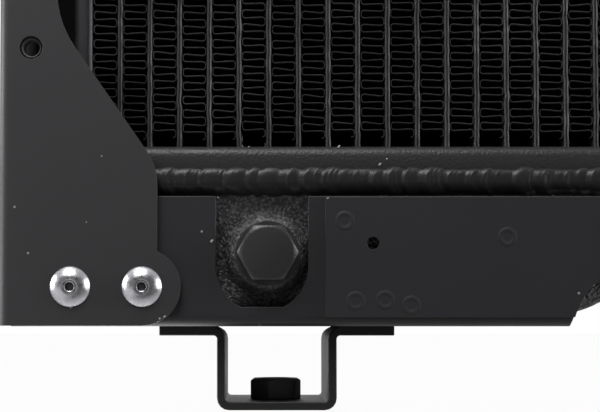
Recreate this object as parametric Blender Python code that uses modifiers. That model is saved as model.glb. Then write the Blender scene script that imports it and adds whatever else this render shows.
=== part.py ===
"""Hydraulic oil cooler: a brazed tube and fin core between two cast tanks, in a riveted sheet frame.

Metres, +Z up, front at -Y. The origin is on the plane of the two bracket feet, midway between them.
Heights written as UP are above the underside of the lower cross channel. The top end mirrors the lower one.
"""

import math

import bmesh
import bpy
from mathutils import Matrix

# Overall
HALF_WIDTH = 0.2193
CHANNEL_UNDERSIDE = 0.028
CORE_UP = 0.0600
CORE_HEIGHT = 0.379
GAP = 0.0003
MIDDLE = CHANNEL_UNDERSIDE + CORE_UP + CORE_HEIGHT / 2

# Core: flat tubes with corrugated fins between them
TUBE_COUNT = 37
TUBE_PITCH = 0.010
TUBE_WIDTH = 0.002
TUBE_BORE = (0.001, 0.056)
CORE_HALF_DEPTH = 0.030
FIN_ROWS = 6
FIN_THICK = 0.0008
FIN_SLANT = 0.005
SIDE_PLATE_WIDTH = 0.0062
SIDE_PLATE_SHEET = 0.0015
CORE_HALF_WIDTH = (TUBE_COUNT + 1) * TUBE_PITCH / 2 - TUBE_WIDTH / 2

# Header plates and the weld that joins them to the tanks
HEADER_UP = 0.0526
TUBE_STICK_OUT = CORE_UP - HEADER_UP
HEADER_HALF_LENGTH = 0.197
HEADER_HALF_DEPTH = 0.0355
HEADER_ROUND = 0.0018
HEADER_CORNER = 0.004
BEAD_UP = (0.0436, 0.0523)
BEAD_REACH = 0.0058
BEAD_ROUND = 0.0036
BEAD_CORNER = 0.008

# Cast tanks
TANK_HALF_LENGTH = 0.195
TANK_HALF_DEPTH = 0.028
TANK_RIM_HALF_DEPTH = 0.031
TANK_SPREAD_UP = (0.0295, 0.0425)
TANK_BOTTOM_ROUND = 0.008
TANK_MOUTH_UP = 0.041
TANK_MOUTH_HALF_DEPTH = 0.0285
TANK_BOTTOM_UP = 0.003
TANK_TOP_UP = 0.0523
TANK_WALL = 0.004
RELIEF_HALF_WIDTH = 0.0395
RELIEF_TURN = 30
RELIEF_OUTER_RADIUS = 0.045

# Drain plug, its washer and its boss on the lower tank
PLUG_X = -0.1304
PLUG_UP = 0.0242
BOSS_FACE_RADIUS = 0.0114
BOSS_FOOT_RADIUS = 0.0155
BOSS_HEIGHT = 0.0062
BOSS_INNER_RADIUS = 0.011
BOSS_INNER_DEPTH = 0.010
PLUG_BORE_RADIUS = 0.0064
PLUG_SHANK_RADIUS = 0.0059
PLUG_SHANK_LENGTH = 0.0145
PLUG_ACROSS_FLATS = 0.0179
PLUG_HEAD_HEIGHT = 0.0075
PLUG_WASHER_RADIUS = 0.0108
PLUG_WASHER_THICK = 0.0015

# Oil ports on the rear walls of the tanks
PORT_X = 0.110
PORT_UP = 0.0236
PORT_RADIUS = 0.019
PORT_BORE_RADIUS = 0.01225
PORT_LENGTH = 0.016
PORT_CHAMFER = 0.001
PORT_NOTCH_HALF_WIDTH = 0.0205
PORT_NOTCH_UP = 0.0035
PORT_NOTCH_ROUND = 0.014

# Side frames: bent sheet with a wide gusset at each end
FRAME_HALF_DEPTH = 0.040
SHEET = 0.0025
FRAME_BEND = 0.0034
FLANGE_WIDTH = 0.01896
GUSSET_WIDTH = 0.05245
GUSSET_TOP_UP = 0.1013
GUSSET_SHOULDER_UP = 0.0528
GUSSET_TOP_ROUND = 0.0336
GUSSET_SHOULDER_ROUND = 0.0189
LOBE_RADIUS = 0.0128
FRAME_BOTTOM_UP = 0.0002
NUT_HOLE_RADIUS = 0.0038
NUT_HOLE = (0.01064, 0.0921)
NUT_ACROSS_FLATS = 0.010
NUT_HEIGHT = 0.005
NUT_BORE_RADIUS = 0.00265

# Blind rivets, two at each corner, front and rear
RIVET_INSETS = {"outer": 0.0239, "inner": 0.0475}
RIVET_UP = 0.0130
RIVET_HEAD_RADIUS = 0.0067
RIVET_SHANK_RADIUS = 0.0031
RIVET_HOLE_RADIUS = 0.0034
RIVET_STEPS = 10
RIVET_CROWN = [(0, 0.0012), (0.0019, 0.0012), (0.0022, 0.0023), (0.0052, 0.0017)]
RIVET_TAIL = [(0.0044, 0.0012), (0.0038, 0.0034), (0, 0.0040)]

# Cross channels
CHANNEL_HALF_LENGTH = HALF_WIDTH - FRAME_BEND - GAP
CHANNEL_HALF_DEPTH = FRAME_HALF_DEPTH - SHEET - GAP
CHANNEL_LIP_UP = 0.0431
CHANNEL_BEND = 0.0035
NOTCH_X = -0.13225
NOTCH_UP = 0.0199
NOTCH_RADIUS = 0.01525
NOTCH_BOTTOM_UP = 0.0064
ARCH_UP = -0.0068
ARCH_RADIUS = 0.031

# Doubler plate spot welded over the arch
DOUBLER_HALF_LENGTH = 0.1114
DOUBLER_UP = (0.0030, 0.0426)
DOUBLER_SHEET = 0.002
DOUBLER_HOLE = (0.0957, 0.0274)
DOUBLER_HOLE_RADIUS = 0.0021

# Mounting brackets with the nuts welded in them
BRACKET_X = 0.1273
BRACKET_HALF_WIDTH = 0.0200
BRACKET_HALF_SPAN = 0.0393
BRACKET_HALF_DEPTH = 0.030
BRACKET_SHEET = 0.0028
BRACKET_BEND = 0.0040
BRACKET_TOP = CHANNEL_UNDERSIDE - GAP
FOOT_HOLE_RADIUS = 0.0055
FOOT_NUT_ACROSS_FLATS = 0.016
FOOT_NUT_HEIGHT = 0.0066
FOOT_NUT_BORE_RADIUS = 0.00425
FOOT_NUT_TURN = math.radians(14.4)

# Hexagons
CROWN_SHARE = 0.46
CHAMFER_SLOPE = math.tan(math.radians(30))
SCREW_POINT = 0.001

FRONT = math.radians(90)
REAR = math.radians(-90)
OVERSHOOT = 0.010
PLANE_TURNS = {
    "XY": (0, 0, 0),
    "XZ": (math.radians(90), 0, 0),
    "YZ": (math.radians(90), 0, math.radians(90)),
}
PLANE_NORMALS = {"XY": (0, 0, 1), "XZ": (0, 1, 0), "YZ": (1, 0, 0)}

FINISHES = {
    "side frame paint": ((0.040, 0.040, 0.042), 0.45, 0.0),
    "channel paint": ((0.026, 0.025, 0.028), 0.45, 0.0),
    "core paint": ((0.020, 0.020, 0.021), 0.50, 0.0),
    "cast tank paint": ((0.024, 0.024, 0.025), 0.60, 0.0),
    "weld paint": ((0.020, 0.020, 0.021), 0.40, 0.0),
    "bracket paint": ((0.012, 0.012, 0.012), 0.45, 0.0),
    "black plug steel": ((0.030, 0.030, 0.032), 0.40, 0.6),
    "bare rivet steel": ((0.680, 0.690, 0.700), 0.28, 1.0),
    "plated nut steel": ((0.350, 0.350, 0.340), 0.35, 1.0),
    "sealing washer": ((0.060, 0.060, 0.062), 0.50, 0.4),
}


# Scene helpers

def clear_scene():
    for old in list(bpy.data.objects):
        bpy.data.objects.remove(old, do_unlink=True)


def new_collection(name):
    collection = bpy.data.collections.new(name)
    bpy.context.scene.collection.children.link(collection)
    return collection


def new_material(name, colour, roughness, metallic):
    material = bpy.data.materials.new(name)
    material.use_nodes = True
    shader = material.node_tree.nodes["Principled BSDF"]
    shader.inputs["Base Color"].default_value = (*colour, 1.0)
    shader.inputs["Roughness"].default_value = roughness
    shader.inputs["Metallic"].default_value = metallic
    material.diffuse_color = (*colour, 1.0)
    return material


clear_scene()
PARTS = new_collection("hydraulic_oil_cooler")
CUTTERS = new_collection("cutters")
MATERIALS = {name: new_material(name, *values) for name, values in FINISHES.items()}
ASSEMBLY = bpy.data.objects.new("oil_cooler_assembly", None)
PARTS.objects.link(ASSEMBLY)


def place(name, mesh, finish=None):
    """A part with a finish, or a cutter where there is none."""
    item = bpy.data.objects.new(name, mesh)
    if finish:
        PARTS.objects.link(item)
        item.parent = ASSEMBLY
        mesh.materials.clear()
        mesh.materials.append(MATERIALS[finish])
    else:
        CUTTERS.objects.link(item)
        item.hide_render = True
        item.display_type = "WIRE"
    return item


def boolean(target, tool, operation="DIFFERENCE"):
    modifier = target.modifiers.new(f"{operation.lower()} {tool.name}", "BOOLEAN")
    modifier.operation = operation
    modifier.solver = "EXACT"
    modifier.object = tool


def smooth_edges(item, width, segments):
    modifier = item.modifiers.new("rounded edges", "BEVEL")
    modifier.width = width
    modifier.segments = segments
    modifier.limit_method = "ANGLE"
    modifier.angle_limit = math.radians(50)


# Outlines

def arc(centre, radius, start, end, steps):
    """Points along an arc, with its angles in degrees."""
    angles = [math.radians(start + (end - start) * i / steps) for i in range(steps + 1)]
    return [(centre[0] + radius * math.cos(a), centre[1] + radius * math.sin(a)) for a in angles]


def rounded(corners, steps=5):
    """An outline through corners (x, y, radius), with each corner that has a radius turned into an arc."""
    points = []
    for i, (x, y, radius) in enumerate(corners):
        if not radius:
            points.append((x, y))
            continue
        before, after = corners[i - 1], corners[(i + 1) % len(corners)]
        way_in = math.atan2(y - before[1], x - before[0])
        way_out = math.atan2(after[1] - y, after[0] - x)
        turn = (way_out - way_in + math.pi) % (2 * math.pi) - math.pi
        reach = radius * math.tan(abs(turn) / 2)
        side = math.copysign(math.pi / 2, turn)
        start = (x - reach * math.cos(way_in), y - reach * math.sin(way_in))
        centre = (start[0] + radius * math.cos(way_in + side), start[1] + radius * math.sin(way_in + side))
        first = math.degrees(way_in - side)
        points += arc(centre, radius, first, first + math.degrees(turn), steps)
    return points


def rectangle(x_range, y_range, radius=0.0):
    (x0, x1), (y0, y1) = x_range, y_range
    return rounded([(x0, y0, radius), (x1, y0, radius), (x1, y1, radius), (x0, y1, radius)])


def extruded(name, outline, plane, low, high, finish=None):
    """A flat outline in one plane, given thickness from low to high along the plane's normal."""
    curve = bpy.data.curves.new(name, "CURVE")
    curve.dimensions = "2D"
    curve.fill_mode = "BOTH"
    curve.extrude = (high - low) / 2
    spline = curve.splines.new("POLY")
    spline.points.add(len(outline) - 1)
    for point, (x, y) in zip(spline.points, outline):
        point.co = (x, y, 0, 1)
    spline.use_cyclic_u = True
    guide = bpy.data.objects.new(name + " outline", curve)
    CUTTERS.objects.link(guide)
    guide.rotation_euler = PLANE_TURNS[plane]
    guide.location = [n * (low + high) / 2 for n in PLANE_NORMALS[plane]]
    bpy.context.view_layer.update()
    graph = bpy.context.evaluated_depsgraph_get()
    mesh = bpy.data.meshes.new_from_object(guide.evaluated_get(graph))
    weld(mesh)
    item = place(name, mesh, finish)
    item.matrix_world = guide.matrix_world
    bpy.data.objects.remove(guide, do_unlink=True)
    return item


def weld(mesh):
    """Joins the loose caps of a filled curve to its sides."""
    work = bmesh.new()
    work.from_mesh(mesh)
    bmesh.ops.remove_doubles(work, verts=work.verts, dist=1e-6)
    bmesh.ops.recalc_face_normals(work, faces=work.faces)
    work.to_mesh(mesh)
    work.free()


def turned(name, profile, steps, finish=None, ring=False):
    """A profile (radius, height) turned about Z. It runs from the top down the outer side."""
    work = bmesh.new()
    points = [work.verts.new((radius, 0, height)) for radius, height in profile]
    for first, second in zip(points, points[1:] + points[:1] if ring else points[1:]):
        work.edges.new((first, second))
    mesh = bpy.data.meshes.new(name)
    work.to_mesh(mesh)
    work.free()
    item = place(name, mesh, finish)
    screw = item.modifiers.new("turned", "SCREW")
    screw.axis = "Z"
    screw.angle = 2 * math.pi
    screw.steps = screw.render_steps = steps
    screw.use_merge_vertices = True
    screw.merge_threshold = 1e-5
    screw.use_smooth_shade = True
    return item


def drill(name, radius, centre, y_range, steps=RIVET_STEPS):
    """A round cutter along Y."""
    (x, z), (y0, y1) = centre, y_range
    work = bmesh.new()
    bmesh.ops.create_cone(
        work, cap_ends=True, segments=steps, radius1=radius, radius2=radius, depth=y1 - y0
    )
    mesh = bpy.data.meshes.new(name)
    work.to_mesh(mesh)
    work.free()
    item = place(name, mesh)
    item.location = (x, (y0 + y1) / 2, z)
    item.rotation_euler = (FRONT, 0, 0)
    return item


def row_of_boxes(name, size, centres):
    """One cutter made of equal boxes."""
    work = bmesh.new()
    for centre in centres:
        matrix = Matrix.Translation(centre) @ Matrix.Diagonal((*size, 1))
        bmesh.ops.create_cube(work, size=1, matrix=matrix)
    mesh = bpy.data.meshes.new(name)
    work.to_mesh(mesh)
    work.free()
    return place(name, mesh)


def height(up, top=False):
    """The Z of a height above the lower channel's underside, or of its mirror at the top end."""
    z = CHANNEL_UNDERSIDE + up
    return 2 * MIDDLE - z if top else z


def span(up_range, top):
    return sorted(height(up, top) for up in up_range)


# Core

def tube_places():
    return [(i - (TUBE_COUNT - 1) / 2) * TUBE_PITCH for i in range(TUBE_COUNT)]


def build_core():
    """Tubes at their true size. The fins are coarse zigzag webs, brazed to the tubes."""
    half = TUBE_WIDTH / 2
    columns = [-CORE_HALF_WIDTH]
    for x in tube_places():
        columns += [x - half, x + half]
    columns.append(CORE_HALF_WIDTH)
    low, high = height(CORE_UP) - TUBE_STICK_OUT, height(CORE_UP, True) + TUBE_STICK_OUT
    rows = [low]
    for i in range(FIN_ROWS):
        z = height(CORE_UP) + CORE_HEIGHT * (i + 0.5) / FIN_ROWS
        rows += [z - FIN_THICK / 2, z + FIN_THICK / 2]
    rows.append(high)

    work = bmesh.new()
    across, tall = len(columns) - 1, len(rows) - 1
    bmesh.ops.create_grid(work, x_segments=across, y_segments=tall, size=0.5)
    cell = {v: (round((v.co.x + 0.5) * across), round((v.co.y + 0.5) * tall)) for v in work.verts}
    gaps = []
    for face in work.faces:
        column = min(cell[v][0] for v in face.verts)
        row = min(cell[v][1] for v in face.verts)
        if column % 2 == 0 and row % 2 == 0:
            gaps.append(face)
    for v, (column, row) in cell.items():
        web = (row - 1) // 2
        rise = 0.0
        if 0 < row < tall:
            rise = FIN_SLANT * (1 if column % 2 else -1) * (1 if web % 2 else -1)
        v.co = (columns[column], rows[row] + rise, 0)
    bmesh.ops.delete(work, geom=gaps, context="FACES")
    mesh = bpy.data.meshes.new("core_matrix")
    work.to_mesh(mesh)
    work.free()

    core = place("core_matrix", mesh, "core paint")
    core.rotation_euler = (FRONT, 0, 0)
    thickness = core.modifiers.new("core depth", "SOLIDIFY")
    thickness.thickness = 2 * CORE_HALF_DEPTH
    thickness.offset = 0
    bore_size = (*TUBE_BORE, high - low + 2 * OVERSHOOT)
    bores = row_of_boxes("tube bores", bore_size, [(x, 0, (low + high) / 2) for x in tube_places()])
    boolean(core, bores)


def build_header_plate(name, top):
    z0, z1 = span((HEADER_UP, CORE_UP), top)
    outline = rectangle(
        (-HEADER_HALF_LENGTH, HEADER_HALF_LENGTH), (-HEADER_HALF_DEPTH, HEADER_HALF_DEPTH), HEADER_CORNER
    )
    plate = extruded(name, outline, "XY", z0, z1, "core paint")
    smooth_edges(plate, HEADER_ROUND, 2)
    slot = (TUBE_WIDTH + 2 * GAP, 2 * (CORE_HALF_DEPTH + GAP), 2 * OVERSHOOT)
    slots = row_of_boxes(name + " slots", slot, [(x, 0, (z0 + z1) / 2) for x in tube_places()])
    boolean(plate, slots)


def build_side_plate(name, side):
    """A shallow channel along the outermost fin, open outward."""
    inner = CORE_HALF_WIDTH + GAP
    outer, web = inner + SIDE_PLATE_WIDTH, inner + SIDE_PLATE_SHEET
    front, inside = CORE_HALF_DEPTH, CORE_HALF_DEPTH - SIDE_PLATE_SHEET
    half = [(inner, -front), (outer, -front), (outer, -inside), (web, -inside)]
    outline = half + [(x, -y) for x, y in reversed(half)]
    low, high = height(CORE_UP) + GAP, height(CORE_UP, True) - GAP
    extruded(name, [(side * x, y) for x, y in outline], "XY", low, high, "core paint")


# Tanks

def relief_curve(base):
    """The shallow arch in the tank's underside, in X and UP, from one end of it to the other."""
    outer, turn = RELIEF_OUTER_RADIUS, math.radians(RELIEF_TURN)
    crossing = RELIEF_HALF_WIDTH - outer * math.sin(turn)
    crown = crossing / math.sin(turn)
    crest = base + (outer + crown) * (1 - math.cos(turn))
    left = arc((-RELIEF_HALF_WIDTH, base + outer), outer, -90, -90 + RELIEF_TURN, 4)
    middle = arc((0, crest - crown), crown, 90 + RELIEF_TURN, 90 - RELIEF_TURN, 8)[1:-1]
    return left + middle + [(-x, up) for x, up in reversed(left)]


def arched_outline(curve, half_length, far, top):
    """A front outline between an arch and a straight edge at the height far."""
    near = curve[0][1]
    ends = [(half_length, near), (half_length, far), (-half_length, far), (-half_length, near)]
    return [(x, height(up, top)) for x, up in curve + ends]


def tank_section(top):
    """Section across a tank: rounded below, with walls that spread out to the rim."""
    depth, rim, low, roof = TANK_HALF_DEPTH, TANK_RIM_HALF_DEPTH, TANK_BOTTOM_UP, TANK_TOP_UP
    waist, shoulder = TANK_SPREAD_UP
    corners = [(-rim, roof, 0), (-rim, shoulder, 0), (-depth, waist, 0), (-depth, low, TANK_BOTTOM_ROUND)]
    corners += [(depth, low, TANK_BOTTOM_ROUND), (depth, waist, 0), (rim, shoulder, 0), (rim, roof, 0)]
    return [(y, height(up, top)) for y, up in rounded(corners, 4)]


def build_tank(name, top, port_x):
    depth = TANK_HALF_DEPTH
    tank = extruded(
        name, tank_section(top), "YZ", -TANK_HALF_LENGTH, TANK_HALF_LENGTH, "cast tank paint"
    )
    under = arched_outline(
        relief_curve(TANK_BOTTOM_UP - GAP), RELIEF_HALF_WIDTH + GAP, TANK_BOTTOM_UP - OVERSHOOT, top
    )
    boolean(tank, extruded(name + " relief", under, "XZ", -2 * depth, 2 * depth))
    hollow_depth = depth - TANK_WALL
    inside = arched_outline(
        relief_curve(TANK_BOTTOM_UP + TANK_WALL), TANK_HALF_LENGTH - TANK_WALL, TANK_TOP_UP + OVERSHOOT, top
    )
    boolean(tank, extruded(name + " hollow", inside, "XZ", -hollow_depth, hollow_depth))
    mouth_end = TANK_HALF_LENGTH - TANK_WALL
    mouth_z = span((TANK_MOUTH_UP, TANK_TOP_UP + OVERSHOOT), top)
    mouth_outline = rectangle((-mouth_end, mouth_end), mouth_z)
    mouth_depth = TANK_MOUTH_HALF_DEPTH
    boolean(tank, extruded(name + " mouth", mouth_outline, "XZ", -mouth_depth, mouth_depth))

    port_z = height(PORT_UP, top)
    root = GAP - TANK_WALL
    profile = [(0, PORT_LENGTH), (PORT_RADIUS - PORT_CHAMFER, PORT_LENGTH)]
    profile += [(PORT_RADIUS, PORT_LENGTH - PORT_CHAMFER), (PORT_RADIUS, root), (0, root)]
    port = turned(name + " port", profile, 24)
    port.location = (port_x, depth, port_z)
    port.rotation_euler = (REAR, 0, 0)
    boolean(tank, port, "UNION")
    bore = drill(name + " port bore", PORT_BORE_RADIUS, (port_x, port_z), (0.5 * depth, 2 * depth), 24)
    boolean(tank, bore)
    return tank


def add_drain_boss(tank):
    profile = [(0, BOSS_HEIGHT), (BOSS_FACE_RADIUS, BOSS_HEIGHT), (BOSS_FOOT_RADIUS, -TANK_WALL / 4)]
    profile += [(BOSS_INNER_RADIUS, -TANK_WALL / 2), (BOSS_INNER_RADIUS, -BOSS_INNER_DEPTH)]
    profile += [(0, -BOSS_INNER_DEPTH)]
    boss = turned("drain boss", profile, 24)
    boss.location = (PLUG_X, -TANK_HALF_DEPTH, height(PLUG_UP))
    boss.rotation_euler = (FRONT, 0, 0)
    boolean(tank, boss, "UNION")
    mouth = -TANK_HALF_DEPTH - BOSS_HEIGHT - OVERSHOOT
    bore = drill("drain bore", PLUG_BORE_RADIUS, (PLUG_X, height(PLUG_UP)), (mouth, 0), 16)
    boolean(tank, bore)


def build_weld_bead(name, top):
    """The bead that runs right round the joint of header and tank."""
    z0, z1 = span(BEAD_UP, top)
    long, deep = TANK_HALF_LENGTH + GAP, TANK_RIM_HALF_DEPTH + GAP
    reach = BEAD_REACH
    outside = rectangle((-long - reach, long + reach), (-deep - reach, deep + reach), BEAD_CORNER)
    bead = extruded(name, outside, "XY", z0, z1, "weld paint")
    smooth_edges(bead, BEAD_ROUND, 2)
    inside = rectangle((-long, long), (-deep, deep))
    boolean(bead, extruded(name + " inside", inside, "XY", z0 - OVERSHOOT, z1 + OVERSHOOT))


# Sheet frame

def frame_outline(side):
    """Front outline of a side frame: a narrow strip that widens into a gusset at each end."""
    lobe = (RIVET_INSETS["inner"], RIVET_UP)
    edge_angle = math.degrees(math.acos((GUSSET_WIDTH - lobe[0]) / LOBE_RADIUS))
    foot = rounded(
        [
            (GUSSET_WIDTH, RIVET_UP, 0),
            (GUSSET_WIDTH, GUSSET_SHOULDER_UP, GUSSET_SHOULDER_ROUND),
            (FLANGE_WIDTH, GUSSET_TOP_UP, GUSSET_TOP_ROUND),
            (FLANGE_WIDTH, 0.5 * CORE_HEIGHT, 0),
        ]
    )[1:-1]
    lower = [(0, FRAME_BOTTOM_UP)] + arc(lobe, LOBE_RADIUS, -90, edge_angle, 12) + foot
    outline = [(inset, height(up)) for inset, up in lower]
    outline += [(inset, height(up, True)) for inset, up in reversed(lower)]
    return [(side * (HALF_WIDTH - inset), z) for inset, z in outline]


def rivet_centres(side, top):
    places = {}
    for place_name, inset in RIVET_INSETS.items():
        places[place_name] = (side * (HALF_WIDTH - inset), height(RIVET_UP, top))
    return places


def nut_centre(side, top):
    return side * (HALF_WIDTH - NUT_HOLE[0]), height(NUT_HOLE[1], top)


def build_side_frame(name, side):
    """Bent C section with wide flanges, trimmed to the gusset outline."""
    outer, tip = HALF_WIDTH, HALF_WIDTH - RIVET_INSETS["inner"] - LOBE_RADIUS - OVERSHOOT
    depth, inside = FRAME_HALF_DEPTH, FRAME_HALF_DEPTH - SHEET
    bend, inner_bend = FRAME_BEND, FRAME_BEND - SHEET
    half = [(tip, -depth, 0), (outer, -depth, bend), (outer, depth, bend), (tip, depth, 0)]
    half += [(tip, inside, 0), (outer - SHEET, inside, inner_bend), (outer - SHEET, -inside, inner_bend)]
    section = rounded(half + [(tip, -inside, 0)], 4)
    low, high = height(0) - OVERSHOOT, height(0, True) + OVERSHOOT
    frame = extruded(name, [(side * x, y) for x, y in section], "XY", low, high, "side frame paint")
    trim = extruded(name + " trim", frame_outline(side), "XZ", -depth - OVERSHOOT, depth + OVERSHOOT)
    boolean(frame, trim, "INTERSECT")
    for top in (False, True):
        for place_name, centre in rivet_centres(side, top).items():
            hole_name = f"{name} rivet hole {place_name} {top}"
            through = (-depth - OVERSHOOT, depth + OVERSHOOT)
            boolean(frame, drill(hole_name, RIVET_HOLE_RADIUS, centre, through))
        front_only = (-depth - OVERSHOOT, 0)
        hole = drill(f"{name} nut hole {top}", NUT_HOLE_RADIUS, nut_centre(side, top), front_only, 20)
        boolean(frame, hole)


def build_channel(name, top):
    """Bent U section that lies in the side frames and carries a tank."""
    depth, inside = CHANNEL_HALF_DEPTH, CHANNEL_HALF_DEPTH - SHEET
    bend, inner_bend = CHANNEL_BEND, CHANNEL_BEND - SHEET
    corners = [(-depth, CHANNEL_LIP_UP, 0), (-depth, 0, bend), (depth, 0, bend), (depth, CHANNEL_LIP_UP, 0)]
    corners += [(inside, CHANNEL_LIP_UP, 0), (inside, SHEET, inner_bend)]
    corners += [(-inside, SHEET, inner_bend), (-inside, CHANNEL_LIP_UP, 0)]
    section = [(y, height(up, top)) for y, up in rounded(corners, 4)]
    channel = extruded(name, section, "YZ", -CHANNEL_HALF_LENGTH, CHANNEL_HALF_LENGTH, "channel paint")
    through = (-depth - OVERSHOOT, depth + OVERSHOOT)
    for side in (-1, 1):
        for place_name, centre in rivet_centres(side, top).items():
            hole_name = f"{name} rivet hole {place_name} {side}"
            boolean(channel, drill(hole_name, RIVET_HOLE_RADIUS, centre, through))
    return channel


def cut_port_notch(channel, top, port_x):
    beyond = CHANNEL_LIP_UP + OVERSHOOT
    half = PORT_NOTCH_HALF_WIDTH
    corners = [(-half, PORT_NOTCH_UP, PORT_NOTCH_ROUND), (half, PORT_NOTCH_UP, PORT_NOTCH_ROUND)]
    corners += [(half, beyond, 0), (-half, beyond, 0)]
    outline = [(port_x + x, height(up, top)) for x, up in rounded(corners)]
    rear = CHANNEL_HALF_DEPTH
    notch = extruded(channel.name + " port notch", outline, "XZ", rear - 2 * SHEET, rear + SHEET)
    boolean(channel, notch)


def cut_drain_notch(channel):
    """A round bottomed notch, cut off flat just above the bend."""
    dip = math.degrees(math.asin((NOTCH_UP - NOTCH_BOTTOM_UP) / NOTCH_RADIUS))
    beyond = CHANNEL_LIP_UP + OVERSHOOT
    centre = (NOTCH_X, NOTCH_UP)
    outline = [(NOTCH_X - NOTCH_RADIUS, beyond)] + arc(centre, NOTCH_RADIUS, 180, 180 + dip, 10)
    outline += arc(centre, NOTCH_RADIUS, 360 - dip, 360, 10) + [(NOTCH_X + NOTCH_RADIUS, beyond)]
    outline = [(x, height(up)) for x, up in outline]
    front = -CHANNEL_HALF_DEPTH
    boolean(channel, extruded("drain notch", outline, "XZ", front - SHEET, front + 2 * SHEET))


def cut_doubler_holes(item):
    """Small holes through the doubler and the channel's front wall."""
    front = -CHANNEL_HALF_DEPTH
    for side in (-1, 1):
        centre = (side * DOUBLER_HOLE[0], height(DOUBLER_HOLE[1]))
        name = f"{item.name} small hole {side}"
        hole = drill(name, DOUBLER_HOLE_RADIUS, centre, (front - 2 * SHEET, front + 2 * SHEET))
        boolean(item, hole)


def cut_arch(item):
    through = (-FRAME_HALF_DEPTH - OVERSHOOT, FRAME_HALF_DEPTH + OVERSHOOT)
    boolean(item, drill(item.name + " arch", ARCH_RADIUS, (0, height(ARCH_UP)), through, 48))


def build_doubler():
    rear = -CHANNEL_HALF_DEPTH - GAP
    outline = rectangle((-DOUBLER_HALF_LENGTH, DOUBLER_HALF_LENGTH), span(DOUBLER_UP, False))
    doubler = extruded("doubler_plate", outline, "XZ", rear - DOUBLER_SHEET, rear, "channel paint")
    cut_arch(doubler)
    cut_doubler_holes(doubler)


def build_rivet(name, centre, turn):
    """A pulled blind rivet: domed head with a hollow for the broken mandrel, and a set tail."""
    grip = 2 * SHEET + GAP
    profile = RIVET_CROWN + [(RIVET_HEAD_RADIUS, GAP)]
    profile += [(RIVET_SHANK_RADIUS, GAP), (RIVET_SHANK_RADIUS, -grip - GAP)]
    profile += [(radius, -grip - behind) for radius, behind in RIVET_TAIL]
    rivet = turned(name, profile, RIVET_STEPS, "bare rivet steel")
    rivet.location = (centre[0], math.copysign(FRAME_HALF_DEPTH, -turn), centre[1])
    rivet.rotation_euler = (turn, 0, 0)


# Hexagon fasteners

def hexagon(name, across_flats, thick, finish):
    """A hexagon on +Z above its seat at Z 0, with two corners along X and its far side chamfered."""
    corner = across_flats / math.sqrt(3)
    # The first corner of a six sided cone lies on Y, so a quarter turn puts it on X.
    lift = Matrix.Translation((0, 0, thick / 2)) @ Matrix.Rotation(math.radians(90), 4, "Z")
    work = bmesh.new()
    bmesh.ops.create_cone(
        work, cap_ends=True, segments=6, radius1=corner, radius2=corner, depth=thick, matrix=lift
    )
    mesh = bpy.data.meshes.new(name)
    work.to_mesh(mesh)
    work.free()
    item = place(name, mesh, finish)
    crown, past = CROWN_SHARE * across_flats, corner + OVERSHOOT
    drop = (past - crown) * CHAMFER_SLOPE
    profile = [(0, thick), (crown, thick), (past, thick - drop), (past, -thick), (0, -thick)]
    chamfer = turned(name + " chamfer", profile, 24)
    chamfer.parent = item
    boolean(item, chamfer, "INTERSECT")
    return item


def upright_pin(name, radius, low, high):
    return turned(name, [(0, high), (radius, high), (radius, low), (0, low)], 16)


def nut(name, across_flats, thick, bore_radius, finish):
    item = hexagon(name, across_flats, thick, finish)
    bore = upright_pin(name + " bore", bore_radius, -OVERSHOOT, thick + OVERSHOOT)
    bore.parent = item
    boolean(item, bore)
    return item


def build_weld_nut(name, centre):
    """A nut welded behind a hole in the front flange."""
    item = nut(name, NUT_ACROSS_FLATS, NUT_HEIGHT, NUT_BORE_RADIUS, "plated nut steel")
    item.location = (centre[0], -FRAME_HALF_DEPTH + SHEET + GAP, centre[1])
    item.rotation_euler = (REAR, 0, 0)


def build_drain_plug():
    """A hexagon headed plug that screws into the boss, on a flat sealing washer."""
    z = height(PLUG_UP)
    seat = -TANK_HALF_DEPTH - BOSS_HEIGHT - GAP
    outer, inner, thick = PLUG_WASHER_RADIUS, PLUG_BORE_RADIUS, PLUG_WASHER_THICK
    ring = [(outer, thick), (outer, 0), (inner, 0), (inner, thick)]
    washer = turned("drain_plug_washer", ring, 16, "sealing washer", ring=True)
    washer.location = (PLUG_X, seat, z)
    plug = hexagon("drain_plug", PLUG_ACROSS_FLATS, PLUG_HEAD_HEIGHT, "black plug steel")
    radius, length = PLUG_SHANK_RADIUS, PLUG_SHANK_LENGTH
    root = PLUG_HEAD_HEIGHT / 2
    profile = [(0, root), (radius, root), (radius, SCREW_POINT - length)]
    profile += [(radius - SCREW_POINT, -length), (0, -length)]
    shank = turned("drain plug shank", profile, 16)
    shank.parent = plug
    boolean(plug, shank, "UNION")
    plug.location = (PLUG_X, seat - thick - GAP, z)
    for item in (washer, plug):
        item.rotation_euler = (FRONT, 0, 0)


# Mounting brackets

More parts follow.
